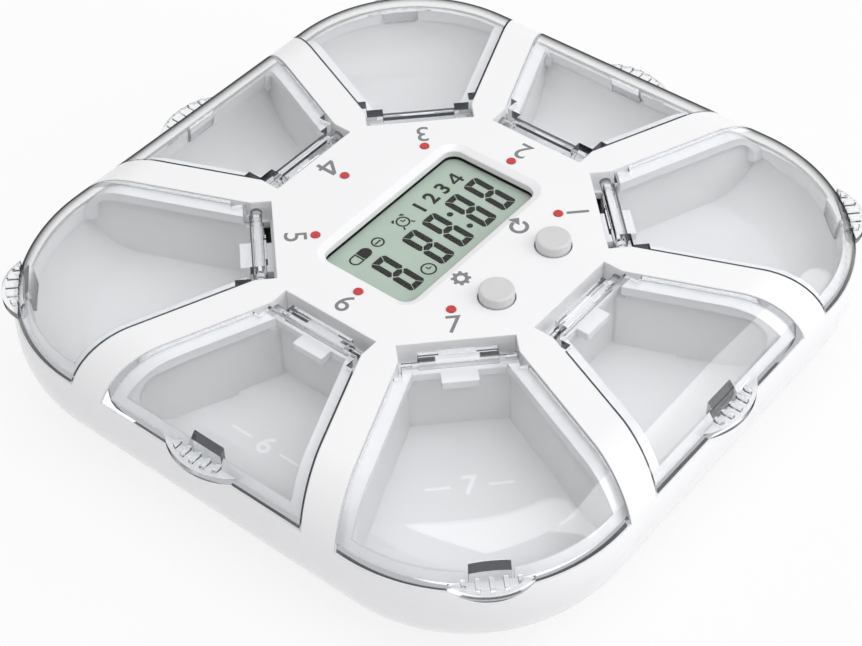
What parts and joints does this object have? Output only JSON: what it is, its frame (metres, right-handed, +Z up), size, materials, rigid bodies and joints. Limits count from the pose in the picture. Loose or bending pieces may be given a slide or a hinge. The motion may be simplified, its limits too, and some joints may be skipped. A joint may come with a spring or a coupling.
{
  "type": "pill dispenser",
  "caption": "Low rounded-square pill organiser: wedge compartments with clear hinged lids round an octagonal deck that carries a liquid crystal clock, push buttons and lamps.",
  "frame": {"origin": "centre of the underside, on the plane the rubber feet stand on", "axes": "+Z up; the clock's display is read from the -Y side, so +Y is the top of its characters and +X is to their right"},
  "size_m": [0.1344, 0.1344, 0.0328],
  "materials": {
    "housing_white": "glossy moulded ABS, near white",
    "cover_white": "satin moulded ABS, near white",
    "cup_plastic": "translucent white polypropylene",
    "clear_plastic": "clear moulded polystyrene",
    "lens_plastic": "clear acrylic",
    "lcd": "reflective grey-green liquid crystal glass",
    "frame_plastic": "black moulded plastic",
    "silicone": "pink conductive silicone strip",
    "board": "green solder mask on glass-fibre board",
    "steel": "zinc plated steel",
    "nickel": "nickel plated spring steel",
    "black_plastic": "black moulded plastic",
    "button_grey": "light grey moulded ABS",
    "lamp_red": "red tinted clear plastic",
    "led_white": "surface mount lamp body",
    "component_tan": "plated and ceramic component bodies",
    "cell_jacket": "plain printed cell jacket",
    "foot_rubber": "grey rubber"
  },
  "bodies": {
    "housing": {"top_housing": "housing_white", "bottom_cover": "cover_white", "post_sleeves": "cover_white", "pill_cup_1": "cup_plastic", "pill_cup_2": "cup_plastic", "pill_cup_3": "cup_plastic", "pill_cup_4": "cup_plastic", "pill_cup_5": "cup_plastic", "pill_cup_6": "cup_plastic", "pill_cup_7": "cup_plastic", "pill_cup_8": "cup_plastic", "display_lens": "lens_plastic", "lcd_glass": "lcd", "lcd_frame": "frame_plastic", "zebra_strips": "silicone", "circuit_board": "board", "board_screws": "steel", "tact_switches": "black_plastic", "indicator_leds": "led_white", "light_pipes": "lamp_red", "buzzer": "black_plastic", "control_chip": "black_plastic", "board_components": "component_tan", "battery_contacts": "nickel", "battery_cell_a": "cell_jacket", "battery_cell_b": "cell_jacket", "rubber_feet": "foot_rubber", "case_screws": "steel"},
    "lid_1_body": {"lid_1": "clear_plastic"},
    "lid_2_body": {"lid_2": "clear_plastic"},
    "lid_3_body": {"lid_3": "clear_plastic"},
    "lid_4_body": {"lid_4": "clear_plastic"},
    "lid_5_body": {"lid_5": "clear_plastic"},
    "lid_6_body": {"lid_6": "clear_plastic"},
    "lid_7_body": {"lid_7": "clear_plastic"},
    "lid_8_body": {"lid_8": "clear_plastic"},
    "set_button_body": {"set_button": "button_grey", "set_plunger": "black_plastic"},
    "cycle_button_body": {"cycle_button": "button_grey", "cycle_plunger": "black_plastic"},
    "door_body": {"battery_door": "cover_white"}
  },
  "joints": [
    {"name": "lid_1_hinge", "type": "hinge", "parent": "housing", "child": "lid_1_body", "pos_m": [0.02334, -0.02334, 0.0282], "axis": [-0.7071, -0.7071, 0], "range_deg": [0, 94]},
    {"name": "lid_2_hinge", "type": "hinge", "parent": "housing", "child": "lid_2_body", "pos_m": [0.033, 0, 0.0282], "axis": [0, 1, 0], "range_deg": [-94, 0]},
    {"name": "lid_3_hinge", "type": "hinge", "parent": "housing", "child": "lid_3_body", "pos_m": [0.02334, 0.02334, 0.0282], "axis": [0.7071, -0.7071, 0], "range_deg": [0, 94]},
    {"name": "lid_4_hinge", "type": "hinge", "parent": "housing", "child": "lid_4_body", "pos_m": [0, 0.033, 0.0282], "axis": [-1, 0, 0], "range_deg": [-94, 0]},
    {"name": "lid_5_hinge", "type": "hinge", "parent": "housing", "child": "lid_5_body", "pos_m": [-0.02334, 0.02334, 0.0282], "axis": [0.7071, 0.7071, 0], "range_deg": [0, 94]},
    {"name": "lid_6_hinge", "type": "hinge", "parent": "housing", "child": "lid_6_body", "pos_m": [-0.033, 0, 0.0282], "axis": [0, -1, 0], "range_deg": [-94, 0]},
    {"name": "lid_7_hinge", "type": "hinge", "parent": "housing", "child": "lid_7_body", "pos_m": [-0.02334, -0.02334, 0.0282], "axis": [-0.7071, 0.7071, 0], "range_deg": [0, 94]},
    {"name": "lid_8_hinge", "type": "hinge", "parent": "housing", "child": "lid_8_body", "pos_m": [0, -0.033, 0.0282], "axis": [1, 0, 0], "range_deg": [-94, 0]},
    {"name": "set_press", "type": "slide", "parent": "housing", "child": "set_button_body", "axis": [0, 0, -1], "range_m": [0, 0.0005], "stiffness_N_per_m": 800, "springref_m": -0.0002},
    {"name": "cycle_press", "type": "slide", "parent": "housing", "child": "cycle_button_body", "axis": [0, 0, -1], "range_m": [0, 0.0005], "stiffness_N_per_m": 800, "springref_m": -0.0002},
    {"name": "battery_door_slide", "type": "slide", "parent": "housing", "child": "door_body", "axis": [0, -1, 0], "range_m": [0, 0.006]}
  ]
}
